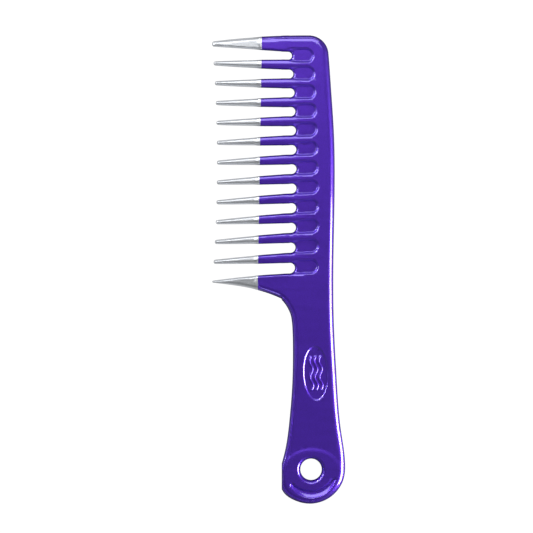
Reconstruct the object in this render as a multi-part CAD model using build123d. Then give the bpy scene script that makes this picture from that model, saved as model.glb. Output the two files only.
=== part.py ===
"""Wide tooth comb: one purple moulding (spine, handle, tooth roots) and thirteen silver tooth tips.

Frame: the comb lies on its back face. +X points from the teeth to the back of the spine, +Y from the
handle to the head, +Z up out of the front face. The origin is the bottom centre of the bounding box.
Lengths are in millimetres, angles in degrees. The parting plane is at half the thickness.
"""

import os
from math import acos, atan2, cos, degrees, pi, radians, sin, sqrt

from build123d import *

# Whole comb
LENGTH = 230.0
THICKNESS = 6.0
MID_Z = THICKNESS / 2
HEAD_Y = LENGTH / 2

# Teeth: number 0 is at the head end, number 12 beside the handle
TEETH = 13
LAST = TEETH - 1
TIP_TOP_Y = 111.0
TIP_PITCH = 9.75
TIP_END_X = -32.7
TIP_BOW = 2.35
ROOT_X = 3.4
ROOT_TOP_Y = 110.16
ROOT_PITCH = 9.5
ROOT_BOW = 0.8
TIP_RADIUS = 1.15
TAPER_LINEAR = 0.058
TAPER_CURVE = 0.0006
TIP_THINNING = 0.2
THINNING_LENGTH = 30.0
FLANK_WIDTH = 1.6
RIDGE_FLAT = 0.15
RIDGE_SHARE = 0.4
SECTION_STEPS = 5
NOSE_STEPS = (0.03, 0.25, 0.6, 1.0)

# The end teeth are wider: their outer sides are the comb's top edge and the throat of the handle
FIRST_INNER_Y = 107.0
FIRST_INNER_LEAN = 0.066
LAST_INNER_Y = -2.0
LAST_INNER_LEAN = 0.045
LAST_INNER_CURVE = 0.00134
TOP_EDGE_RADIUS = 350.0
TOP_EDGE_FLAT = 2.9
THROAT_START = (-31.6, -6.7)
THROAT_LEAN = 0.1095
THROAT_CURVE = 1.12e-4
THROAT_X = -1.0

# Where the silver tips meet the purple teeth
COLOUR_LINE_TOP_X = -8.3
COLOUR_LINE_LEAN = 0.155

# Slots between the teeth, and the pockets that carry each slot on into the spine
SLOT_ROOT_X = 8.75
SLOT_BOW_CENTRE = 6.5
SLOT_BOW_TO_HEAD = 2.6
SLOT_BOW_TO_HANDLE = 1.3
SLOT_SIGHT_X = -10.0
POCKET_END_X = 19.7
POCKET_END_BOW = 0.034
POCKET_BOW_CENTRE = 8.5
POCKET_SHIFT = 0.25
POCKET_RADIUS = 3.6
POCKET_TAPER = 40.0
WEB_THICKNESS = 4.0
WEB_CHAMFER = 0.5

# Spine and handle
EDGE_RADIUS = 2.6
CORNER_X = 14.9
CORNER_RADIUS = 9.6
BACK_TOP_ANGLE = 5.1
BACK_CURVE = [(25.8, 88.0), (27.1, 68.0), (27.5, 40.0), (26.95, 8.0)]
HANDLE_BACK_CURVE = [(27.1, -26.0), (28.5, -54.0), (30.6, -79.0)]
END_CENTRE = (15.25, -97.5)
END_RADIUS = 17.5
END_ANGLES = (6, -18, -42, -66, -90, -114, -138)
FRONT_CURVE = [(0.55, -104.4), (2.7, -90.8), (5.4, -73.0), (6.6, -58.0), (7.0, -39.0), (6.7, -28.0)]
THROAT_TURN = [(5.8, -22.0), (3.9, -18.0)]

# Hanging hole, the raised pad around it and the scoop below it
HOLE_CENTRE = (15.9, -98.1)
HOLE_RADIUS = 5.25
HOLE_RIM_DEPTH = 1.0
HOLE_RIM_WIDTH = 1.5
PAD_CENTRE = (16.3, -104.2)
PAD_RADIUS = 16.0
PAD_SLOPE = 1.0
PAD_SLOPE_DROP = 0.5
WAIST_START_Y = -20.0
WAIST_LOW_Y = -86.0
WAIST_END_Y = -100.0
WAIST_DEPTH = 0.38
SCOOP_DEPTH = 1.0
SCOOP_SLOPE = 2.8
SCOOP_CENTRE = (16.2, -99.6)
SCOOP_RADIUS = 12.5
SCOOP_WALL_CENTRE = (15.5, -95.9)
SCOOP_WALL_RADIUS = 12.6
SCOOP_LEFT = (5.0, -104.9)
SCOOP_RIGHT = (28.6, -101.6)

# Oval panel on the handle, with three plain wavy ribs
OVAL_CENTRE = (18.2, -50.8)
OVAL_HALF_WIDTH = 5.9
OVAL_HALF_LENGTH = 13.1
OVAL_LEAN = 2.2
OVAL_DEPTH = 0.7
RIBS = 3
RIB_SPACING = 2.3
RIB_HALF_LENGTH = 8.0
RIB_SWING = 0.7
RIB_QUARTER_WAVES = 8
RIB_WIDTH = 0.7
RIB_HEIGHT = 0.3
RIB_ROOT = 0.2

# Spigot of each tooth, inside its tip
SPIGOT_SHARE = 0.55
SPIGOT_LENGTH = 13.0

# How far the cuts reach past the faces that they open, a width that covers the handle, and the
# distance below which a point counts as being on an edge
OVERCUT = 2.0
HANDLE_SPAN = 80.0
TOUCHING = 0.02
BASE_ALIGN = (Align.CENTER, Align.CENTER, Align.MIN)


def tip_x(tooth):
    """X of a tooth's end: the row of tips is a shallow bow."""
    along = (tooth - LAST / 2) / (LAST / 2)
    return TIP_END_X + TIP_BOW * (1 - along**2)


def tip_y(tooth):
    return TIP_TOP_Y - TIP_PITCH * tooth


def root_y(tooth):
    """Y of a tooth's centre line at ROOT_X: evenly spaced but for a slight bow."""
    along = (tooth - LAST / 2) / (LAST / 2 - 1)
    return ROOT_TOP_Y - ROOT_PITCH * tooth + ROOT_BOW * (1 - along**2)


def colour_line_x(tooth):
    """X where the silver tip meets the purple tooth."""
    return COLOUR_LINE_TOP_X - COLOUR_LINE_LEAN * tooth


def top_edge_y(x):
    """The comb's top edge, which is also the outer side of tooth 0."""
    drop = max(CORNER_X - TOP_EDGE_FLAT - x, 0.0)
    return HEAD_Y - drop**2 / (2 * TOP_EDGE_RADIUS)


def throat_y(x):
    """The lower side of the last tooth, which curves into the handle."""
    run = x - THROAT_START[0]
    return THROAT_START[1] - THROAT_LEAN * run - THROAT_CURVE * run**3


def end_tooth_inner_y(tooth, x):
    """The side of an end tooth that faces the slots."""
    run = x - ROOT_X
    if tooth == 0:
        return FIRST_INNER_Y - FIRST_INNER_LEAN * run
    return LAST_INNER_Y + LAST_INNER_LEAN * run - LAST_INNER_CURVE * run**2


def side_lines(tooth, x):
    """(upper, lower) Y of a tooth's sides at the parting plane, before the rounded end."""
    if tooth == 0:
        return top_edge_y(x), end_tooth_inner_y(0, x)
    if tooth == LAST:
        return end_tooth_inner_y(LAST, x), throat_y(x)
    run = x - tip_x(tooth)
    half = TIP_RADIUS + TAPER_LINEAR * run - TAPER_CURVE * run**2
    slope = (root_y(tooth) - tip_y(tooth)) / (ROOT_X - tip_x(tooth))
    centre = tip_y(tooth) + slope * run
    return centre + half, centre - half


def tooth_centre_and_half(tooth, x):
    """Centre Y and half width at the parting plane, with the rounded end."""
    upper, lower = side_lines(tooth, x)
    centre, half = (upper + lower) / 2, (upper - lower) / 2
    run = x - tip_x(tooth)
    if run < TIP_RADIUS:
        half *= sqrt(max(1 - (1 - run / TIP_RADIUS) ** 2, 0.0))
    return centre, half


def half_thickness(x, tooth_tip_x):
    """Half thickness of a tooth, a little less towards its end."""
    share = min((x - tooth_tip_x) / THINNING_LENGTH, 1.0)
    return MID_Z * (1 - TIP_THINNING * (1 - share))


def lens_section(x, centre_y, half, half_z):
    """A tooth's section: four elliptical flanks, with a narrow flat on the front and back ridges."""
    flat = max(min(RIDGE_FLAT, half * RIDGE_SHARE), half - FLANK_WIDTH)
    sweep = degrees(acos(1 - (half - flat) / FLANK_WIDTH))
    ridge_z = half_z * sin(radians(sweep))
    offset = half - FLANK_WIDTH

    def flank(side, start):
        return EllipticalCenterArc((side * offset, 0), FLANK_WIDTH, half_z, start, arc_size=sweep)

    edges = [
        flank(1, 0),
        Line((flat, ridge_z), (-flat, ridge_z)),
        flank(-1, 180 - sweep),
        flank(-1, 180),
        Line((-flat, -ridge_z), (flat, -ridge_z)),
        flank(1, 360 - sweep),
    ]
    plane = Plane(origin=(x, centre_y, MID_Z), x_dir=(0, 1, 0), z_dir=(1, 0, 0))
    return plane * make_face(edges)


def even_steps(start, end):
    return [start + (end - start) * i / SECTION_STEPS for i in range(SECTION_STEPS + 1)]


def tooth_bar(tooth, start_x, end_x, share=1.0):
    """A length of a tooth between two X positions. share below 1 gives the thinner core inside it."""
    nose_end = tip_x(tooth) + TIP_RADIUS
    if start_x < nose_end:
        nose = [tip_x(tooth) + step * TIP_RADIUS for step in NOSE_STEPS]
        xs = nose[:-1] + even_steps(nose_end, end_x)
    else:
        xs = even_steps(start_x, end_x)
    sections = []
    for x in xs:
        centre, half = tooth_centre_and_half(tooth, x)
        sections.append(lens_section(x, centre, half * share, half_thickness(x, tip_x(tooth)) * share))
    return loft(sections, ruled=True)


def spigot(tooth):
    """The core that reaches into the silver tip."""
    line_x = colour_line_x(tooth)
    return tooth_bar(tooth, line_x - SPIGOT_LENGTH, line_x, SPIGOT_SHARE)


def silver_tip(tooth):
    return tooth_bar(tooth, tip_x(tooth), colour_line_x(tooth)) - spigot(tooth)


def purple_root(tooth):
    """The purple length of a tooth, from the spine to the end of its spigot."""
    end_x = THROAT_X if tooth == LAST else ROOT_X
    return tooth_bar(tooth, colour_line_x(tooth), end_x) + spigot(tooth)


def on_circle(centre, radius, angle):
    return (centre[0] + radius * cos(radians(angle)), centre[1] + radius * sin(radians(angle)))


def clockwise(angle):
    """Direction of clockwise travel round a circle at an angle."""
    return (sin(radians(angle)), -cos(radians(angle)))


def plate_outline():
    """Edges of the spine and handle, clockwise from the head. The last three face the teeth."""
    start = (ROOT_X, top_edge_y(ROOT_X))
    corner_start = (CORNER_X, HEAD_Y)
    corner_centre = (CORNER_X, HEAD_Y - CORNER_RADIUS)
    back_start = on_circle(corner_centre, CORNER_RADIUS, BACK_TOP_ANGLE)
    handle_end = [on_circle(END_CENTRE, END_RADIUS, angle) for angle in END_ANGLES]
    throat = (THROAT_X, throat_y(THROAT_X))
    throat_step = throat_y(THROAT_X + 0.5) - throat_y(THROAT_X - 0.5)
    back = [back_start, *BACK_CURVE, *HANDLE_BACK_CURVE]
    front = [*FRONT_CURVE, *THROAT_TURN, throat]
    top_slope = (CORNER_X - TOP_EDGE_FLAT - ROOT_X) / TOP_EDGE_RADIUS
    return [
        Spline(start, corner_start, tangents=[(1, top_slope), (1, 0)]),
        CenterArc(corner_centre, CORNER_RADIUS, 90, BACK_TOP_ANGLE - 90),
        Spline(back + handle_end + front, tangents=[clockwise(BACK_TOP_ANGLE), (-1, -throat_step)]),
        Line(throat, (THROAT_X, end_tooth_inner_y(LAST, THROAT_X))),
        Line((THROAT_X, end_tooth_inner_y(LAST, THROAT_X)), (ROOT_X, end_tooth_inner_y(LAST, ROOT_X))),
        Line((ROOT_X, end_tooth_inner_y(LAST, ROOT_X)), start),
    ]


def plate():
    """Spine and handle as one slab, its outer edges rounded and its sides to the teeth left square."""
    outline = plate_outline()
    slab = extrude(make_face(outline), THICKNESS)
    rims = slab.edges().group_by(Axis.Z)
    outer = []
    for edge in rims[0] + rims[-1]:
        middle = edge @ 0.5
        if all(side.distance_to((middle.X, middle.Y, 0)) > TOUCHING for side in outline[-3:]):
            outer.append(edge)
    return fillet(outer, EDGE_RADIUS)


def slot_sides(slot, x):
    """(upper, lower) Y of the gap between a tooth and the next one."""
    return side_lines(slot, x)[1], side_lines(slot + 1, x)[0]


def slot_root_x(slot):
    """X where a slot ends: deepest near the middle of the comb."""
    along = (slot + 0.5 - SLOT_BOW_CENTRE) / SLOT_BOW_CENTRE
    bow = SLOT_BOW_TO_HEAD if along < 0 else SLOT_BOW_TO_HANDLE
    return SLOT_ROOT_X - bow * along**2


def pocket_end_x(slot):
    """X where a pocket ends: deepest nearer the handle."""
    return POCKET_END_X - POCKET_END_BOW * (slot - POCKET_BOW_CENTRE) ** 2


def stadium(slot, end_x, radius):
    """Plan of a slot or pocket: straight sides along the gap, and a round end at end_x."""
    upper, lower = slot_sides(slot, ROOT_X)
    far_upper, far_lower = slot_sides(slot, SLOT_SIGHT_X)
    centre = (upper + lower) / 2
    slope = (centre - (far_upper + far_lower) / 2) / (ROOT_X - SLOT_SIGHT_X)
    start_x = THROAT_X - OVERCUT
    end_x -= radius
    length = end_x - start_x
    place = Pos(end_x, centre + slope * (end_x - ROOT_X)) * Rot(0, 0, degrees(atan2(slope, 1)))
    return place * (Pos(-length / 2, 0) * Rectangle(length, 2 * radius) + Circle(radius))


def slot_half_width(slot):
    upper, lower = slot_sides(slot, ROOT_X)
    return (upper - lower) / 2


def slot_cut(slot):
    """The open end of a slot, through the web."""
    plan = stadium(slot, slot_root_x(slot), slot_half_width(slot))
    return extrude(Pos(0, 0, -OVERCUT) * plan, THICKNESS + 2 * OVERCUT)


def web_chamfer_cut(slot):
    """The sloping edge of the web round the end of a slot, at the front face."""
    plan = stadium(slot, slot_root_x(slot) + WEB_CHAMFER, slot_half_width(slot) + WEB_CHAMFER)
    return extrude(Pos(0, 0, MID_Z + WEB_THICKNESS / 2) * plan, -WEB_CHAMFER, taper=45)


def pocket_cut(slot):
    """The pocket in the front face, a little nearer the head than its slot, with sloping walls."""
    plan = Pos(0, POCKET_SHIFT) * stadium(slot, pocket_end_x(slot), POCKET_RADIUS)
    depth = (THICKNESS - WEB_THICKNESS) / 2
    return extrude(Pos(0, 0, THICKNESS) * plan, -depth, taper=POCKET_TAPER)


def both_faces(cut):
    """A cut in the front face together with its mirror image in the back face."""
    return [cut, cut.mirror(Plane.XY.offset(MID_Z))]


def waist_cut():
    """The handle's face falls away gently towards the pad round the hole, and rises again beside it."""
    low_z, high_z = THICKNESS - WAIST_DEPTH, THICKNESS + OVERCUT
    profile = Polyline(
        (WAIST_START_Y, THICKNESS),
        (WAIST_LOW_Y, low_z),
        (WAIST_END_Y, THICKNESS),
        (WAIST_END_Y, high_z),
        (WAIST_START_Y, high_z),
        close=True,
    )
    wedge = extrude(Plane.YZ * make_face(profile), HANDLE_SPAN / 2, both=True)
    pad = Pos(*PAD_CENTRE, THICKNESS - PAD_SLOPE_DROP) * Cone(
        PAD_RADIUS + PAD_SLOPE, PAD_RADIUS - PAD_SLOPE, 2 * PAD_SLOPE_DROP, align=BASE_ALIGN
    )
    return wedge - pad


def scoop_cut():
    """A crescent below the hole: steep beside the hole, sloping up to nothing at its outer edge."""
    bowl = Pos(*SCOOP_CENTRE, THICKNESS - SCOOP_DEPTH) * Cone(
        SCOOP_RADIUS - SCOOP_SLOPE, SCOOP_RADIUS + SCOOP_SLOPE, 2 * SCOOP_DEPTH, align=BASE_ALIGN
    )
    wall = Pos(*SCOOP_WALL_CENTRE, THICKNESS - 2 * SCOOP_DEPTH) * Cylinder(
        SCOOP_WALL_RADIUS, 4 * SCOOP_DEPTH, align=BASE_ALIGN
    )
    run_x, run_y = SCOOP_RIGHT[0] - SCOOP_LEFT[0], SCOOP_RIGHT[1] - SCOOP_LEFT[1]
    middle = ((SCOOP_LEFT[0] + SCOOP_RIGHT[0]) / 2, (SCOOP_LEFT[1] + SCOOP_RIGHT[1]) / 2, THICKNESS)
    above = Pos(*middle) * Rot(0, 0, degrees(atan2(run_y, run_x))) * Pos(0, HANDLE_SPAN / 2, 0)
    return bowl - wall - above * Box(2 * HANDLE_SPAN, HANDLE_SPAN, HANDLE_SPAN)


def hole_cut():
    """The hanging hole, with a sloping rim at both faces."""
    bore = Pos(*HOLE_CENTRE, MID_Z) * Cylinder(HOLE_RADIUS, THICKNESS + 2 * OVERCUT)
    rim = Pos(*HOLE_CENTRE, THICKNESS - HOLE_RIM_DEPTH) * Cone(
        HOLE_RADIUS, HOLE_RADIUS + 2 * HOLE_RIM_WIDTH, 2 * HOLE_RIM_DEPTH, align=BASE_ALIGN
    )
    return [bore] + both_faces(rim)


def oval_place():
    return Pos(*OVAL_CENTRE, THICKNESS) * Rot(0, 0, OVAL_LEAN)


def oval_cut():
    return oval_place() * extrude(Ellipse(OVAL_HALF_WIDTH, OVAL_HALF_LENGTH), OVAL_DEPTH, both=True)


def wavy_rib(offset):
    """One raised wavy line along the oval."""
    quarters = range(RIB_QUARTER_WAVES + 1)
    ys = [RIB_HALF_LENGTH * (2 * i / RIB_QUARTER_WAVES - 1) for i in quarters]
    xs = [offset + RIB_SWING * sin(i * pi / 2) for i in quarters]
    right = Spline([(x + RIB_WIDTH / 2, y) for x, y in zip(xs, ys)])
    left = Spline([(x - RIB_WIDTH / 2, y) for x, y in zip(xs, ys)])
    ends = [Line(left @ 0, right @ 0), Line(left @ 1, right @ 1)]
    base = Pos(0, 0, -OVAL_DEPTH - RIB_ROOT)
    return oval_place() * base * extrude(make_face([right, left, *ends]), RIB_ROOT + RIB_HEIGHT)


def comb_body():
    body = plate()
    for slot in range(LAST):
        body -= both_faces(pocket_cut(slot)) + both_faces(web_chamfer_cut(slot)) + [slot_cut(slot)]
    body -= both_faces(waist_cut())
    body -= both_faces(scoop_cut())
    body -= hole_cut()
    body -= oval_cut()
    body += [wavy_rib(RIB_SPACING * (i - (RIBS - 1) / 2)) for i in range(RIBS)]
    body += [purple_root(tooth) for tooth in range(TEETH)]
    return body.solid()


def build():
    """Every node of the comb, by name."""
    nodes = {"comb_body": comb_body()}
    for tooth in range(TEETH):
        nodes[f"tooth_tip_{tooth + 1:02d}"] = silver_tip(tooth).solid()
    return nodes


os.makedirs("parts", exist_ok=True)
for name, solid in build().items():
    solid.label = name
    export_step(solid, f"parts/{name}.step")
    print(f"{name}: {solid.volume:.1f} mm3")
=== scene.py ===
"""Wide tooth comb on a white table: a purple metallic moulding with silver tooth tips, seen from above.

The comb is one implicit surface. comb_plan says, for each place seen from above, how near it is to a side
and how thick the comb is there. comb_field turns that into a value that is negative inside the comb and
positive outside. The surface is meshed once, then cut at the colour line into the purple body and the
thirteen silver tips. Shapes are worked out in millimetres, in the CAD frame but with z = 0 at half the
thickness. The scene is in metres.
"""

from math import cos, radians, sin

import bmesh
import bpy
import numpy as np
import openvdb
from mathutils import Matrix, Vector
from mathutils.kdtree import KDTree

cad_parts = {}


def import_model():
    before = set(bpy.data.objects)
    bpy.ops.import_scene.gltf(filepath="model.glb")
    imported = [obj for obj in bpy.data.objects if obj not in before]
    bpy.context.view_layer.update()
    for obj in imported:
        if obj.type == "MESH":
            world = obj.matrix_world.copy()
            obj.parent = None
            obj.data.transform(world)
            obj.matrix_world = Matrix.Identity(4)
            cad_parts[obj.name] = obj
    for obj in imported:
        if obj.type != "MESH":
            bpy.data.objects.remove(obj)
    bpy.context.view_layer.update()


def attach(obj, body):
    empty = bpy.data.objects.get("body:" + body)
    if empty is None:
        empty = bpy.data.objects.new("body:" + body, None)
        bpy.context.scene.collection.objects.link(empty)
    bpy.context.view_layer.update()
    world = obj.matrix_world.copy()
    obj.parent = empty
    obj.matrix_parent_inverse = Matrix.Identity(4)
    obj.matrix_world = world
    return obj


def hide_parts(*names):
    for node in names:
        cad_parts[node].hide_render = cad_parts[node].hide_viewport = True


MM = 0.001

# Whole comb. SKIN keeps the visible faces just inside those of the CAD model.
HALF = 3.0
HEAD_Y = 115.0
SKIN = 0.02

# Teeth: number 0 is at the head end, number 12 beside the handle. A face falls by CROWN towards its sides.
TEETH = 13
LAST = TEETH - 1
TIP_TOP_Y = 111.0
TIP_PITCH = 9.75
TIP_END_X = -32.7
TIP_BOW = 2.35
ROOT_X = 3.4
ROOT_TOP_Y = 110.16
ROOT_PITCH = 9.5
ROOT_BOW = 0.8
TIP_RADIUS = 1.15
TAPER_LINEAR = 0.058
TAPER_CURVE = 0.0006
TIP_THINNING = 0.6
THINNING_LENGTH = 30.0
BAR_END_X = 4.9
TOOTH_EDGE = 1.0
CROWN = 0.26
CROWN_POWER = 1.5
CROWN_END_X = 17.0
CROWN_FADE = 12.0

# The end teeth are wider: their outer sides are the comb's top edge and the throat of the handle
FIRST_INNER_Y = 107.0
FIRST_INNER_LEAN = 0.066
LAST_INNER_Y = -2.0
LAST_INNER_LEAN = 0.045
LAST_INNER_CURVE = 0.00134
TOP_EDGE_RADIUS = 350.0
TOP_EDGE_FLAT = 2.9
THROAT_START = (-31.6, -6.7)
THROAT_LEAN = 0.1095
THROAT_CURVE = 1.12e-4
THROAT_X = -1.0

# Where silver meets purple. The silver is a little thinner, and rises to a short crest at the purple.
COLOUR_LINE_TOP_X = -8.3
COLOUR_LINE_LEAN = 0.155
SILVER_INSET = 0.12
SILVER_STEP = 0.35
SILVER_CREST = 2.8
SILVER_SHOULDER = 0.5

# Slots, and the pockets that carry each slot on into the spine
SLOT_ROOT_X = 8.75
SLOT_BOW_CENTRE = 6.5
SLOT_BOW_TO_HEAD = 2.6
SLOT_BOW_TO_HANDLE = 1.3
SLOT_SIGHT_X = -10.0
SLOT_EDGE = 1.3
POCKET_END_X = 19.3
POCKET_END_BOW = 0.034
POCKET_BOW_CENTRE = 8.5
POCKET_SHIFT = 0.25
POCKET_RADIUS = 3.2
POCKET_WALL = 0.85
POCKET_FOOT = 0.15
POCKET_LIP = 0.45
WEB_HALF = 2.0
POCKET_LEAD = 1.2
POCKET_LEAD_RUN = 2.5
POCKET_CORNER = 1.5
SPINE_START_X = 1.5

# Outline of the spine and handle
CORNER_X = 14.9
CORNER_RADIUS = 9.6
BACK_TOP_ANGLE = 5.1
BACK_CURVE = [(25.8, 88.0), (27.1, 68.0), (27.5, 40.0), (26.95, 8.0)]
HANDLE_BACK_CURVE = [(27.1, -26.0), (28.5, -54.0), (30.6, -79.0)]
END_CENTRE = (15.25, -97.5)
END_RADIUS = 17.5
END_ANGLES = (6, -18, -42, -66, -90, -114, -138)
FRONT_CURVE = [(0.55, -104.4), (2.7, -90.8), (5.4, -73.0), (6.6, -58.0), (7.0, -39.0), (6.7, -28.0)]
THROAT_TURN = [(5.8, -22.0), (3.9, -18.0)]
OUTLINE_START_X = -13.0
OUTLINE_STEP = 0.5

# The outer edge is rounded, more widely along the back. Elsewhere a shallow groove makes it a bead.
EDGE = 2.0
BACK_EDGE = 3.2
BACK_START_X = 18.0
BACK_RUN = 4.0
GROOVE_START_X = -10.0
GROOVE_AT = 1.7
GROOVE_WALL = 0.55
GROOVE_RUN = 1.2
GROOVE_DEPTH = 0.28

# Hanging hole, pad and scoop
HOLE_CENTRE = (15.9, -98.1)
HOLE_RADIUS = 5.25
HOLE_RIM = 1.9
PAD_CENTRE = (16.3, -104.2)
PAD_RADIUS = 16.1
PAD_SLOPE = 2.4
WAIST_START_Y = -20.0
WAIST_RUN = 66.0
WAIST_BACK_Y = -100.0
WAIST_BACK_RUN = 12.0
WAIST_DEPTH = 0.38
SCOOP_CENTRE = (16.2, -99.6)
SCOOP_RADIUS = 12.5
SCOOP_SLOPE = 2.8
SCOOP_DEPTH = 1.0
SCOOP_WALL_CENTRE = (15.5, -95.9)
SCOOP_WALL_RADIUS = 12.6
SCOOP_WALL = 0.9
SCOOP_LEFT = (5.0, -104.9)
SCOOP_RIGHT = (28.6, -101.6)
SCOOP_END = 1.4
SCOOP_TOE_CENTRE = (6.8, -105.9)
SCOOP_TOE_RADIUS = 1.5
SCOOP_TOE_DEPTH = 0.5

# Oval panel with three wavy ribs
OVAL_CENTRE = (18.2, -50.8)
OVAL_HALF_WIDTH = 5.9
OVAL_HALF_LENGTH = 13.1
OVAL_LEAN = 2.2
OVAL_DEPTH = 0.4
OVAL_WALL = 0.7
WAVE_SPACING = 2.3
WAVE_HALF_LENGTH = 8.0
WAVE_LENGTH = 8.0
WAVE_SWING = 0.7
WAVE_WIDTH = 0.8
WAVE_HEIGHT = 0.28

# Meshing: the blend between teeth and spine, the grid, and the steps that settle vertices on the surface
BLEND = 0.15
GRID_STEP = 0.36
GRID_HALF_X = 34.5
GRID_HALF_Y = 116.5
GRID_MARGIN = 3 * GRID_STEP
FIELD_LIMIT = 3.0
FLAT_MERGE = 0.006
PROBE = 0.02
SETTLE_ROUNDS = 3
LONGEST_MOVE = 0.2
CUT_TOLERANCE = 1e-7
CORNER_STEP = 3

# Lower limits that keep divisions safe where a slope or a radius vanishes, and a distance beyond everything
LEAST_GRADIENT = 0.2
LEAST_STRETCH = 0.2
LEAST_REACH = 0.05
LEAST_STEEPNESS = 0.02
FAR = 1000.0

# The two lacquers. Each colour is a darkest and a lightest flake. Scales are per metre, heights in metres.
PURPLE = ((0.085, 0.020, 0.50), (0.125, 0.032, 0.72))
PURPLE_METALLIC = 0.75
PURPLE_ROUGHNESS = 0.36
PURPLE_COAT = 1.0
SILVER = ((0.66, 0.685, 0.72), (0.88, 0.91, 0.96))
SILVER_METALLIC = 0.85
SILVER_ROUGHNESS = 0.34
SILVER_COAT = 0.3
COAT_ROUGHNESS = 0.1
COAT_IOR = 2.0
FLAKE_SCALE = 5200.0
FLAKE_BUMP = 0.12
FLAKE_HEIGHT = 0.00002
CLOUD_SCALE = 90.0
CLOUD_DETAIL = 3.0
CLOUD_SHARE = 0.5
PEEL_SCALE = 420.0
PEEL_DETAIL = 2.0
PEEL_BUMP = 0.05
PEEL_HEIGHT = 0.00005
SCRATCH_SCALE = 60.0
SCRATCH_DETAIL = 6.0
SCRATCH_ROUGHNESS = 0.7
SCRATCH_STRETCH = (1.0, 14.0, 1.0)
SCRATCH_TURN = 0.5
SCRATCH_RANGE = (0.35, 0.75)

# Added to a lacquer's roughness where it is polished, and where it is scratched
POLISHED = -0.03
SCRATCHED = 0.06

# Stage, in metres. The sensor, and the card's edge and fade, are in millimetres.
CAMERA_CENTRE = (-0.00597, 0.0015)
CAMERA_DISTANCE = 1.4
CAMERA_REACH = 20.0
VIEW_WIDTH = 0.2618
SENSOR = 36.0
FLOOR_Z = -0.0001
FLOOR_SIZE = 6.0
FLOOR_GREY = (0.06, 0.06, 0.06)
FLOOR_GLOW = 1.0
FLOOR_ROUGHNESS = 0.7
FLOOR_SPECULAR = 0.2
CARD_EDGE_X = -13.0
CARD_FADE = 4.0
CARD_GLOW = 0.4
ROOM_COLOUR = (0.95, 0.97, 1.0)
HORIZON_GLOW = 0.18
HORIZON_HEIGHT = 0.35
ROOM_GLOW = 0.05
ROOM_HEIGHT = 0.6


# Shared formulas


def smoothstep(value):
    """0 below 0, 1 above 1 and a smooth rise between. Callers add 0.5 to put the middle of the rise at 0."""
    t = np.clip(value, 0.0, 1.0)
    return t * t * (3 - 2 * t)


def smooth_min(a, b, width):
    """The lesser of two values, rounded where they are within width of each other."""
    mix = np.clip(0.5 + 0.5 * (b - a) / width, 0.0, 1.0)
    return b + (a - b) * mix - width * mix * (1 - mix)


def ramp(value, foot, lip):
    """From 0 to 1 in a straight line. foot and lip are how much of it is rounded at either end."""

    def bend(t, soft):
        return np.where(t > soft, t, np.maximum(t + soft, 0.0) ** 2 / (4 * soft))

    return bend(value, foot) - bend(value - 1, lip)


def distance_to(x, y, centre):
    return np.hypot(x - centre[0], y - centre[1])


# The teeth and slots


def tip_x(tooth):
    """X of a tooth's end: the row of tips is a shallow bow."""
    along = (tooth - LAST / 2) / (LAST / 2)
    return TIP_END_X + TIP_BOW * (1 - along**2)


def tip_y(tooth):
    return TIP_TOP_Y - TIP_PITCH * tooth


def root_y(tooth):
    """Y of a tooth's centre line at ROOT_X: evenly spaced but for a slight bow."""
    along = (tooth - LAST / 2) / (LAST / 2 - 1)
    return ROOT_TOP_Y - ROOT_PITCH * tooth + ROOT_BOW * (1 - along**2)


def top_edge_y(x):
    """The comb's top edge, which is also the outer side of tooth 0."""
    drop = np.maximum(CORNER_X - TOP_EDGE_FLAT - x, 0.0)
    return HEAD_Y - drop**2 / (2 * TOP_EDGE_RADIUS)


def throat_y(x):
    """The lower side of the last tooth, which curves into the handle."""
    run = x - THROAT_START[0]
    return THROAT_START[1] - THROAT_LEAN * run - THROAT_CURVE * run**3


def side_lines(tooth, x):
    """(upper, lower) Y of a tooth's sides, before the rounded end."""
    root_run = x - ROOT_X
    if tooth == 0:
        return top_edge_y(x), FIRST_INNER_Y - FIRST_INNER_LEAN * root_run
    if tooth == LAST:
        return LAST_INNER_Y + LAST_INNER_LEAN * root_run - LAST_INNER_CURVE * root_run**2, throat_y(x)
    run = x - tip_x(tooth)
    half = TIP_RADIUS + TAPER_LINEAR * run - TAPER_CURVE * run**2
    slope = (root_y(tooth) - tip_y(tooth)) / (ROOT_X - tip_x(tooth))
    centre = tip_y(tooth) + slope * run
    return centre + half, centre - half


def tooth_plan(tooth, x, y):
    """(side, cut) of a tooth. side is 0 on its face and 1 at its outline. cut is how much thinner it is."""
    nose_x = tip_x(tooth) + TIP_RADIUS
    along = np.clip(x, nose_x, BAR_END_X)
    past_line = np.maximum(COLOUR_LINE_TOP_X - COLOUR_LINE_LEAN * tooth - x, 0.0)
    upper, lower = side_lines(tooth, np.minimum(along, ROOT_X))
    half = (upper - lower) / 2 - SILVER_INSET * smoothstep(past_line / SILVER_CREST)
    off = y - (upper + lower) / 2
    upper_edge = np.minimum(half, EDGE if tooth == 0 else TOOTH_EDGE)
    lower_edge = np.minimum(half, EDGE if tooth == LAST else TOOTH_EDGE)
    across = np.maximum(np.maximum(1 - (half - off) / upper_edge, 1 - (half + off) / lower_edge), 0.0)
    side = np.hypot(across, (x - along) / TIP_RADIUS)

    off_share = np.minimum(np.abs(off) / half, 1.0)
    crest = SILVER_SHOULDER + (SILVER_CREST - SILVER_SHOULDER) * (1 - off_share)
    shortness = np.clip(1 - (along - tip_x(tooth)) / THINNING_LENGTH, 0.0, 1.0)
    cut = TIP_THINNING * shortness**2 + SILVER_STEP * smoothstep(past_line / crest)
    if 0 < tooth < LAST:
        cut = cut + CROWN * off_share**CROWN_POWER * smoothstep((CROWN_END_X - x) / CROWN_FADE)
    return side, cut


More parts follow.
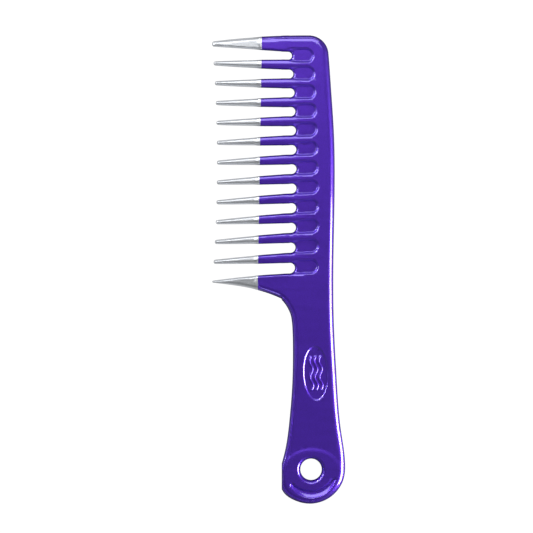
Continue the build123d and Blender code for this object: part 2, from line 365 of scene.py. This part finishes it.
def slot_root_x(slot):
    """X where a slot ends: deepest near the middle of the comb."""
    along = (slot + 0.5 - SLOT_BOW_CENTRE) / SLOT_BOW_CENTRE
    bow = SLOT_BOW_TO_HEAD if along < 0 else SLOT_BOW_TO_HANDLE
    return SLOT_ROOT_X - bow * along**2


def pocket_end_x(slot):
    """X where a pocket ends: the row of ends is a bow, furthest out nearer the handle."""
    return POCKET_END_X - POCKET_END_BOW * (slot - POCKET_BOW_CENTRE) ** 2


def slot_line(slot):
    """(Y at ROOT_X, slope, half width) of the middle of the gap between a tooth and the next one."""
    upper, lower = side_lines(slot, ROOT_X)[1], side_lines(slot + 1, ROOT_X)[0]
    far_upper, far_lower = side_lines(slot, SLOT_SIGHT_X)[1], side_lines(slot + 1, SLOT_SIGHT_X)[0]
    centre = (upper + lower) / 2
    slope = (centre - (far_upper + far_lower) / 2) / (ROOT_X - SLOT_SIGHT_X)
    return centre, slope, (upper - lower) / 2


def stadium_distance(slot, x, y, end_x, radius):
    """Distance outside a stadium that lies along a slot and ends, rounded, at end_x."""
    centre, slope, _ = slot_line(slot)
    middle = centre + slope * (x - ROOT_X)
    return np.hypot(np.maximum(x - (end_x - radius), 0.0), y - middle) - radius


# The spine and handle


def spline_through(points, start_tangent, end_tangent, step):
    """Points along a smooth curve through the given ones, about step apart."""
    knots = np.array(points, dtype=float)
    spans = np.linalg.norm(np.diff(knots, axis=0), axis=1)
    count = len(knots)
    matrix = np.zeros((count, count))
    right = np.zeros((count, 2))
    matrix[0, 0] = matrix[-1, -1] = 1.0
    right[0] = np.array(start_tangent) / np.hypot(*start_tangent)
    right[-1] = np.array(end_tangent) / np.hypot(*end_tangent)
    for i in range(1, count - 1):
        before, after = spans[i - 1], spans[i]
        matrix[i, i - 1] = after
        matrix[i, i] = 2 * (before + after)
        matrix[i, i + 1] = before
        slopes = (knots[i] - knots[i - 1]) / before * after + (knots[i + 1] - knots[i]) / after * before
        right[i] = 3 * slopes
    tangents = np.linalg.solve(matrix, right)
    pieces = []
    for i, span in enumerate(spans):
        t = np.linspace(0, 1, max(int(span / step), 2), endpoint=False)[:, None]
        pieces.append(
            (2 * t**3 - 3 * t**2 + 1) * knots[i]
            + (t**3 - 2 * t**2 + t) * span * tangents[i]
            + (3 * t**2 - 2 * t**3) * knots[i + 1]
            + (t**3 - t**2) * span * tangents[i + 1]
        )
    return np.vstack([*pieces, knots[-1:]])


def on_circle(centre, radius, angle):
    return (centre[0] + radius * cos(radians(angle)), centre[1] + radius * sin(radians(angle)))


def outline_points():
    """The outer edge clockwise: top edge, corner, back, round end, front of the handle, throat."""
    top_x = np.arange(OUTLINE_START_X, CORNER_X, OUTLINE_STEP)
    top = np.column_stack([top_x, top_edge_y(top_x)])
    corner_centre = (CORNER_X, HEAD_Y - CORNER_RADIUS)
    turns = np.arange(90, BACK_TOP_ANGLE, -CORNER_STEP)
    corner = [on_circle(corner_centre, CORNER_RADIUS, angle) for angle in turns]
    back_start = on_circle(corner_centre, CORNER_RADIUS, BACK_TOP_ANGLE)
    handle_end = [on_circle(END_CENTRE, END_RADIUS, angle) for angle in END_ANGLES]
    throat = (THROAT_X, throat_y(THROAT_X))
    throat_slope = throat_y(THROAT_X + 0.5) - throat_y(THROAT_X - 0.5)
    side = spline_through(
        [back_start, *BACK_CURVE, *HANDLE_BACK_CURVE, *handle_end, *FRONT_CURVE, *THROAT_TURN, throat],
        (sin(radians(BACK_TOP_ANGLE)), -cos(radians(BACK_TOP_ANGLE))),
        (-1, -throat_slope),
        OUTLINE_STEP,
    )
    throat_x = np.arange(THROAT_X - OUTLINE_STEP, OUTLINE_START_X, -OUTLINE_STEP)
    under = np.column_stack([throat_x, throat_y(throat_x)])
    return np.vstack([top, corner, side, under])


class Outline:
    """Smooth signed distance to the comb's outer edge, positive inside."""

    def __init__(self):
        self.points = outline_points()
        ahead = np.gradient(self.points, axis=0)
        self.tangents = ahead / np.linalg.norm(ahead, axis=1)[:, None]
        self.normals = np.column_stack([self.tangents[:, 1], -self.tangents[:, 0]])
        turn = np.gradient(self.normals, axis=0)
        step = np.linalg.norm(ahead, axis=1)
        self.curvature = np.einsum("ij,ij->i", turn, self.tangents) / step
        self.tree = KDTree(len(self.points))
        for i, point in enumerate(self.points):
            self.tree.insert((point[0], point[1], 0.0), i)
        self.tree.balance()

    def distance(self, x, y):
        """(distance, X of its gradient, Y of its gradient), from the nearest outline point and its bend."""
        flat = np.column_stack([np.ravel(x), np.ravel(y)])
        nearest = np.array([self.tree.find((px, py, 0.0))[1] for px, py in flat])
        offset = flat - self.points[nearest]
        tangent, normal, bend = self.tangents[nearest], self.normals[nearest], self.curvature[nearest]
        inward = np.einsum("ij,ij->i", offset, normal)
        along = np.einsum("ij,ij->i", offset, tangent) / np.maximum(1 + bend * inward, LEAST_STRETCH)
        foot = self.points[nearest] + tangent * along[:, None] - normal * (bend * along**2 / 2)[:, None]
        turned = normal + tangent * (bend * along)[:, None]
        turned /= np.linalg.norm(turned, axis=1)[:, None]
        depth = np.einsum("ij,ij->i", flat - foot, turned)
        shape = np.shape(x)
        return depth.reshape(shape), turned[:, 0].reshape(shape), turned[:, 1].reshape(shape)


def oval_relief(x, y):
    """Depth of the oval panel, less its wavy ribs."""
    lean = radians(OVAL_LEAN)
    dx, dy = x - OVAL_CENTRE[0], y - OVAL_CENTRE[1]
    across = dx * cos(lean) + dy * sin(lean)
    along = dy * cos(lean) - dx * sin(lean)
    reach = np.hypot(across / OVAL_HALF_WIDTH, along / OVAL_HALF_LENGTH)
    slope = np.hypot(across / OVAL_HALF_WIDTH**2, along / OVAL_HALF_LENGTH**2)
    steepness = slope / np.maximum(reach, LEAST_REACH)
    inside = (1 - reach) / np.maximum(steepness, LEAST_STEEPNESS)
    swing = WAVE_SWING * np.sin(2 * np.pi * along / WAVE_LENGTH)
    lane = (across - swing) / WAVE_SPACING
    from_lane = (lane - np.clip(np.round(lane), -1, 1)) * WAVE_SPACING
    past_end = np.maximum(np.abs(along) - WAVE_HALF_LENGTH, 0.0)
    rib = WAVE_HEIGHT * smoothstep(1 - np.hypot(from_lane, past_end) / WAVE_WIDTH)
    return OVAL_DEPTH * smoothstep(inside / OVAL_WALL + 0.5) - rib


def scoop_relief(x, y):
    """Depth of the crescent below the hole: a steep wall beside the hole, and a hollow outer slope."""
    rise = np.clip((SCOOP_RADIUS - distance_to(x, y, SCOOP_CENTRE)) / SCOOP_SLOPE, 0.0, 1.0)
    wall = smoothstep((distance_to(x, y, SCOOP_WALL_CENTRE) - SCOOP_WALL_RADIUS) / SCOOP_WALL + 0.5)
    run_x, run_y = SCOOP_RIGHT[0] - SCOOP_LEFT[0], SCOOP_RIGHT[1] - SCOOP_LEFT[1]
    below = ((x - SCOOP_LEFT[0]) * run_y - (y - SCOOP_LEFT[1]) * run_x) / np.hypot(run_x, run_y)
    crescent = SCOOP_DEPTH * rise * (2 - rise) * wall * smoothstep(below / SCOOP_END)
    toe = SCOOP_TOE_DEPTH * (1 - (distance_to(x, y, SCOOP_TOE_CENTRE) / SCOOP_TOE_RADIUS) ** 2)
    return np.maximum(crescent, toe)


def waist_relief(x, y):
    """The handle's face falls away gently towards the pad round the hole, and rises again beside it."""
    fall = np.clip((WAIST_START_Y - y) / WAIST_RUN, 0.0, 1.0)
    fall = fall * smoothstep((y - WAIST_BACK_Y) / WAIST_BACK_RUN)
    return WAIST_DEPTH * fall * smoothstep((distance_to(x, y, PAD_CENTRE) - PAD_RADIUS) / PAD_SLOPE + 0.5)


def back_share(x):
    """0 at the front of the comb, 1 along its back."""
    return smoothstep((x - BACK_START_X) / BACK_RUN)


def edge_groove(x, depth):
    """The shallow groove that sets off a bead along the outer edge: steep outside, gentle inside."""
    wall = smoothstep(1 + (depth - GROOVE_AT) / GROOVE_WALL)
    slope = 1 - smoothstep((depth - GROOVE_AT) / GROOVE_RUN)
    return GROOVE_DEPTH * wall * slope * smoothstep(x - GROOVE_START_X) * (1 - back_share(x))


def spine_plan(x, y, depth):
    """(side, height of the face, height of the pockets) of the spine and handle."""
    face = HALF - SKIN - waist_relief(x, y) - scoop_relief(x, y) - edge_groove(x, depth)
    pockets = np.full(np.shape(x), HALF)
    slot_gap = np.full(np.shape(x), FAR)
    for slot in range(LAST):
        half_gap = slot_line(slot)[2]
        root = slot_root_x(slot)
        slot_gap = np.minimum(slot_gap, stadium_distance(slot, x, y, root, half_gap))
        beyond = stadium_distance(slot, x, y - POCKET_SHIFT, pocket_end_x(slot), POCKET_RADIUS)
        before = (root - POCKET_LEAD - x) / POCKET_LEAD_RUN
        wall = -smooth_min(-beyond, -before, POCKET_CORNER)
        pocket = WEB_HALF + (HALF - WEB_HALF) * ramp(wall / POCKET_WALL + 0.5, POCKET_FOOT, POCKET_LIP)
        pockets = np.minimum(pockets, pocket)
    side = np.maximum.reduce(
        [
            1 - depth / (EDGE + (BACK_EDGE - EDGE) * back_share(x)),
            1 - slot_gap / SLOT_EDGE,
            1 - (distance_to(x, y, HOLE_CENTRE) - HOLE_RADIUS) / HOLE_RIM,
            1 - (x - SPINE_START_X),
            np.zeros(np.shape(x)),
        ]
    )
    return side, face, pockets


def comb_plan(x, y, depth):
    """(side, half thickness, depth of the front's oval panel) of the comb. depth is from its outer edge."""
    spine_side, face, pockets = spine_plan(x, y, depth)
    side, cut = tooth_plan(0, x, y)
    for tooth in range(1, TEETH):
        next_side, next_cut = tooth_plan(tooth, x, y)
        nearer = next_side < side
        side = np.where(nearer, next_side, side)
        cut = np.where(nearer, next_cut, cut)
    side = np.maximum(smooth_min(side, spine_side, BLEND), 0.0)
    return side, np.minimum(face - cut, pockets), oval_relief(x, y)


def comb_field(plan, z):
    """Below 0 inside the comb, 0 on its surface: round sides joined by flat faces."""
    side, thickness, front_relief = plan
    thickness = thickness - np.where(z > 0, front_relief, 0.0)
    return (np.hypot(side, z / thickness) - 1) * thickness


# Meshing


def surface_points(outline):
    """Vertices, triangles and quads of the whole comb's surface, in millimetres."""
    xs = np.arange(-GRID_HALF_X, GRID_HALF_X, GRID_STEP)
    ys = np.arange(-GRID_HALF_Y, GRID_HALF_Y, GRID_STEP)
    zs = np.arange(-HALF - GRID_MARGIN, HALF + GRID_MARGIN, GRID_STEP)
    plan_x, plan_y = np.meshgrid(xs, ys, indexing="ij")
    plan = comb_plan(plan_x, plan_y, outline.distance(plan_x, plan_y)[0])
    values = np.stack([comb_field(plan, z) for z in zs], axis=2).astype(np.float32)
    grid = openvdb.FloatGrid(background=FIELD_LIMIT)
    grid.copyFromArray(np.clip(values, -FIELD_LIMIT, FIELD_LIMIT))
    points, triangles, quads = grid.convertToPolygons(isovalue=0.0, adaptivity=FLAT_MERGE)
    return points * GRID_STEP + np.array([xs[0], ys[0], zs[0]]), triangles, quads


def field_and_gradient(points, outline):
    """The field at each point, and its gradient."""
    x, y, z = points.T
    depth, slope_x, slope_y = outline.distance(x, y)
    here = comb_plan(x, y, depth)
    gradient = np.empty_like(points)
    for axis, (dx, dy, slope) in enumerate(((PROBE, 0.0, slope_x), (0.0, PROBE, slope_y))):
        ahead = comb_plan(x + dx, y + dy, depth + slope * PROBE)
        behind = comb_plan(x - dx, y - dy, depth - slope * PROBE)
        gradient[:, axis] = (comb_field(ahead, z) - comb_field(behind, z)) / (2 * PROBE)
    gradient[:, 2] = (comb_field(here, z + PROBE) - comb_field(here, z - PROBE)) / (2 * PROBE)
    return comb_field(here, z), gradient


def settle(points, outline):
    """Moves the vertices onto the exact surface."""
    for _ in range(SETTLE_ROUNDS):
        value, gradient = field_and_gradient(points, outline)
        size = np.maximum(np.einsum("ij,ij->i", gradient, gradient), LEAST_GRADIENT)
        move = np.clip(value / size, -LONGEST_MOVE, LONGEST_MOVE)
        points = points - gradient * move[:, None]
    return points


def colour_plane():
    """A point and the normal of the plane where silver meets purple. The normal points to the spine."""
    top = Vector((COLOUR_LINE_TOP_X, root_y(0), HALF)) * MM
    bottom = Vector((COLOUR_LINE_TOP_X - COLOUR_LINE_LEAN * LAST, root_y(LAST), HALF)) * MM
    along = bottom - top
    return top, Vector((-along.y, along.x, 0)).normalized()


def whole_comb(outline):
    """The comb's surface as one bmesh, in metres."""
    points, triangles, quads = surface_points(outline)
    points = settle(points, outline) + np.array([0.0, 0.0, HALF])
    mesh = bpy.data.meshes.new("comb")
    mesh.from_pydata((points * MM).tolist(), [], triangles.tolist() + quads.tolist())
    bm = bmesh.new()
    bm.from_mesh(mesh)
    bpy.data.meshes.remove(mesh)
    bmesh.ops.recalc_face_normals(bm, faces=bm.faces)
    return bm


def cut_at_colour_line(comb, keep_spine_side):
    """A copy of the comb on one side of the colour plane, closed at the cut."""
    point, normal = colour_plane()
    bm = comb.copy()
    cut = bmesh.ops.bisect_plane(
        bm,
        geom=bm.verts[:] + bm.edges[:] + bm.faces[:],
        dist=CUT_TOLERANCE,
        plane_co=point,
        plane_no=normal,
        clear_outer=not keep_spine_side,
        clear_inner=keep_spine_side,
    )
    rim = [item for item in cut["geom_cut"] if isinstance(item, bmesh.types.BMEdge)]
    bmesh.ops.holes_fill(bm, edges=rim, sides=0)
    return bm


def only_tooth(tips, tooth):
    """A copy of the cut-off tips with all but one tooth deleted."""
    bm = tips.copy()
    middle = (tip_y(tooth) + root_y(tooth)) / 2 * MM
    reach = TIP_PITCH / 2 * MM
    others = [vert for vert in bm.verts if not middle - reach < vert.co.y < middle + reach]
    bmesh.ops.delete(bm, geom=others, context="VERTS")
    return bm


def add_piece(name, bm, outline, material):
    """Makes an object shaded like the exact surface, but for caps and other faces with many corners."""
    mesh = bpy.data.meshes.new(name)
    bm.to_mesh(mesh)
    bm.free()
    mesh.shade_smooth()
    points = np.empty(len(mesh.vertices) * 3)
    mesh.vertices.foreach_get("co", points)
    points = points.reshape(-1, 3) / MM - np.array([0.0, 0.0, HALF])
    gradient = field_and_gradient(points, outline)[1]
    gradient /= np.linalg.norm(gradient, axis=1)[:, None]
    loop_vertices = np.empty(len(mesh.loops), dtype=int)
    mesh.loops.foreach_get("vertex_index", loop_vertices)
    normals = gradient[loop_vertices]
    for face in mesh.polygons:
        if len(face.vertices) > 4:
            normals[face.loop_start : face.loop_start + face.loop_total] = face.normal
    mesh.normals_split_custom_set(normals.tolist())
    mesh.materials.append(material)
    piece = bpy.data.objects.new(name, mesh)
    bpy.context.scene.collection.objects.link(piece)
    return piece


def build_comb(purple, silver):
    outline = Outline()
    comb = whole_comb(outline)
    body = add_piece("comb_shell", cut_at_colour_line(comb, True), outline, purple)
    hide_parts("comb_body")
    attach(body, "root")
    tips = cut_at_colour_line(comb, False)
    for tooth in range(TEETH):
        tip = add_piece(f"silver_tip_{tooth + 1:02d}", only_tooth(tips, tooth), outline, silver)
        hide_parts(f"tooth_tip_{tooth + 1:02d}")
        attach(tip, "root")


# Materials


class Nodes:
    """Short helper for building a material's node tree.

    A Mix node's sockets go by number: 0 is the factor, 2 and 3 are its values, 6 and 7 its colours.
    """

    def __init__(self, name):
        self.material = bpy.data.materials.new(name)
        self.material.use_nodes = True
        self.tree = self.material.node_tree
        self.shader = self.tree.nodes["Principled BSDF"]

    def add(self, kind, **settings):
        node = self.tree.nodes.new(kind)
        for key, value in settings.items():
            if key in node.bl_rna.properties:
                setattr(node, key, value)
            else:
                node.inputs[key.replace("_", " ")].default_value = value
        return node

    def link(self, source, target):
        self.tree.links.new(source, target)


def metallic_lacquer(name, colour, metallic, roughness, coat):
    """Sprayed metallic paint under clear lacquer: fine flakes, faint orange peel and hairline scratches."""
    nodes = Nodes(name)
    place = nodes.add("ShaderNodeTexCoord").outputs["Object"]
    flakes = nodes.add("ShaderNodeTexVoronoi", Scale=FLAKE_SCALE)
    cloud = nodes.add("ShaderNodeTexNoise", Scale=CLOUD_SCALE, Detail=CLOUD_DETAIL)
    nodes.link(place, flakes.inputs["Vector"])
    nodes.link(place, cloud.inputs["Vector"])
    grey = nodes.add("ShaderNodeRGBToBW")
    nodes.link(flakes.outputs["Color"], grey.inputs["Color"])
    blend = nodes.add("ShaderNodeMath", operation="MULTIPLY_ADD")
    nodes.link(cloud.outputs["Fac"], blend.inputs[0])
    blend.inputs[1].default_value = CLOUD_SHARE
    nodes.link(grey.outputs["Val"], blend.inputs[2])
    colours = nodes.add("ShaderNodeMix", data_type="RGBA")
    colours.inputs[6].default_value = (*colour[0], 1)
    colours.inputs[7].default_value = (*colour[1], 1)
    nodes.link(blend.outputs[0], colours.inputs[0])
    nodes.link(colours.outputs[2], nodes.shader.inputs["Base Color"])

    scratches = nodes.add(
        "ShaderNodeTexNoise", Scale=SCRATCH_SCALE, Detail=SCRATCH_DETAIL, Roughness=SCRATCH_ROUGHNESS
    )
    stretch = nodes.add("ShaderNodeMapping")
    stretch.inputs["Scale"].default_value = SCRATCH_STRETCH
    stretch.inputs["Rotation"].default_value = (0.0, 0.0, SCRATCH_TURN)
    nodes.link(place, stretch.inputs["Vector"])
    nodes.link(stretch.outputs["Vector"], scratches.inputs["Vector"])
    worn = nodes.add("ShaderNodeMapRange")
    worn.inputs["From Min"].default_value = SCRATCH_RANGE[0]
    worn.inputs["From Max"].default_value = SCRATCH_RANGE[1]
    worn.inputs["To Min"].default_value = roughness + POLISHED
    worn.inputs["To Max"].default_value = roughness + SCRATCHED
    nodes.link(scratches.outputs["Fac"], worn.inputs["Value"])
    nodes.link(worn.outputs["Result"], nodes.shader.inputs["Roughness"])

    flake_bump = nodes.add("ShaderNodeBump", Strength=FLAKE_BUMP, Distance=FLAKE_HEIGHT)
    nodes.link(grey.outputs["Val"], flake_bump.inputs["Height"])
    peel = nodes.add("ShaderNodeTexNoise", Scale=PEEL_SCALE, Detail=PEEL_DETAIL)
    nodes.link(place, peel.inputs["Vector"])
    peel_bump = nodes.add("ShaderNodeBump", Strength=PEEL_BUMP, Distance=PEEL_HEIGHT)
    nodes.link(peel.outputs["Fac"], peel_bump.inputs["Height"])
    nodes.link(flake_bump.outputs["Normal"], nodes.shader.inputs["Normal"])
    nodes.link(peel_bump.outputs["Normal"], nodes.shader.inputs["Coat Normal"])

    nodes.shader.inputs["Metallic"].default_value = metallic
    nodes.shader.inputs["Coat Weight"].default_value = coat
    nodes.shader.inputs["Coat Roughness"].default_value = COAT_ROUGHNESS
    nodes.shader.inputs["Coat IOR"].default_value = COAT_IOR
    return nodes.material


def floor_material():
    """A dim table with a glowing card under the silver tips. Seen directly it is an even white."""
    nodes = Nodes("white_floor")
    seen = nodes.add("ShaderNodeLightPath").outputs["Is Camera Ray"]
    place = nodes.add("ShaderNodeSeparateXYZ")
    nodes.link(nodes.add("ShaderNodeTexCoord").outputs["Object"], place.inputs[0])
    card = nodes.add("ShaderNodeMapRange")
    card.inputs["From Min"].default_value = CARD_EDGE_X * MM
    card.inputs["From Max"].default_value = (CARD_EDGE_X + CARD_FADE) * MM
    card.inputs["To Min"].default_value = CARD_GLOW
    card.inputs["To Max"].default_value = 0.0
    nodes.link(place.outputs["X"], card.inputs["Value"])
    glow = nodes.add("ShaderNodeMix")
    nodes.link(seen, glow.inputs[0])
    nodes.link(card.outputs["Result"], glow.inputs[2])
    glow.inputs[3].default_value = FLOOR_GLOW
    nodes.link(glow.outputs[0], nodes.shader.inputs["Emission Strength"])
    nodes.shader.inputs["Emission Color"].default_value = (1, 1, 1, 1)
    nodes.shader.inputs["Base Color"].default_value = (*FLOOR_GREY, 1)
    nodes.shader.inputs["Roughness"].default_value = FLOOR_ROUGHNESS
    nodes.shader.inputs["Specular IOR Level"].default_value = FLOOR_SPECULAR
    return nodes.material


# Stage


def add_floor():
    half = FLOOR_SIZE / 2
    mesh = bpy.data.meshes.new("floor")
    corners = [(-half, -half, FLOOR_Z), (half, -half, FLOOR_Z), (half, half, FLOOR_Z), (-half, half, FLOOR_Z)]
    mesh.from_pydata(corners, [], [(0, 1, 2, 3)])
    mesh.materials.append(floor_material())
    floor = bpy.data.objects.new("floor", mesh)
    bpy.context.scene.collection.objects.link(floor)


def add_camera():
    """Straight down over the comb, from far enough away that the comb looks flat."""
    data = bpy.data.cameras.new("camera")
    data.sensor_width = SENSOR
    data.lens = SENSOR * CAMERA_DISTANCE / VIEW_WIDTH
    data.clip_end = CAMERA_REACH
    camera = bpy.data.objects.new("camera", data)
    camera.location = (*CAMERA_CENTRE, CAMERA_DISTANCE + HALF * MM)
    bpy.context.scene.collection.objects.link(camera)
    bpy.context.scene.camera = camera


def add_light(name, place, target, size, power):
    """A soft box at place, aimed at target. Lengths are in metres, power in watts."""
    data = bpy.data.lights.new(name, "AREA")
    data.shape = "RECTANGLE"
    data.size, data.size_y = size
    data.energy = power
    light = bpy.data.objects.new(name, data)
    light.location = place
    aim = Vector(target) - Vector(place)
    light.rotation_euler = aim.to_track_quat("-Z", "Y").to_euler()
    bpy.context.scene.collection.objects.link(light)


def add_lights():
    add_light("over", (-0.08, 0.36, 0.55), (0.0, 0.05, 0.0), (0.7, 0.40), 1.75)
    add_light("key", (-0.52, 0.36, 0.33), (0.0, 0.0, 0.0), (0.7, 0.05), 2.7)
    add_light("head", (0.0, 0.9, 0.40), (0.0, 0.05, 0.0), (1.2, 0.5), 0.5)
    add_light("strip", (0.40, -0.14, 0.18), (0.02, -0.05, 0.0), (0.36, 0.25), 3.2)


def add_world():
    """A dim room with a bright band round the horizon."""
    world = bpy.data.worlds.new("studio")
    world.use_nodes = True
    tree = world.node_tree
    place = tree.nodes.new("ShaderNodeTexCoord")
    height = tree.nodes.new("ShaderNodeSeparateXYZ")
    tree.links.new(place.outputs["Generated"], height.inputs[0])
    band = tree.nodes.new("ShaderNodeMapRange")
    band.interpolation_type = "SMOOTHSTEP"
    band.inputs["From Min"].default_value = HORIZON_HEIGHT
    band.inputs["From Max"].default_value = ROOM_HEIGHT
    band.inputs["To Min"].default_value = HORIZON_GLOW
    band.inputs["To Max"].default_value = ROOM_GLOW
    tree.links.new(height.outputs["Z"], band.inputs["Value"])
    background = tree.nodes["Background"]
    background.inputs["Color"].default_value = (*ROOM_COLOUR, 1)
    tree.links.new(band.outputs["Result"], background.inputs["Strength"])
    bpy.context.scene.world = world


def main():
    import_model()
    bpy.context.scene.view_settings.view_transform = "Standard"
    add_camera()
    add_lights()
    add_world()
    add_floor()
    build_comb(
        metallic_lacquer("purple_metallic_lacquer", PURPLE, PURPLE_METALLIC, PURPLE_ROUGHNESS, PURPLE_COAT),
        metallic_lacquer("silver_metallic_lacquer", SILVER, SILVER_METALLIC, SILVER_ROUGHNESS, SILVER_COAT),
    )


main()
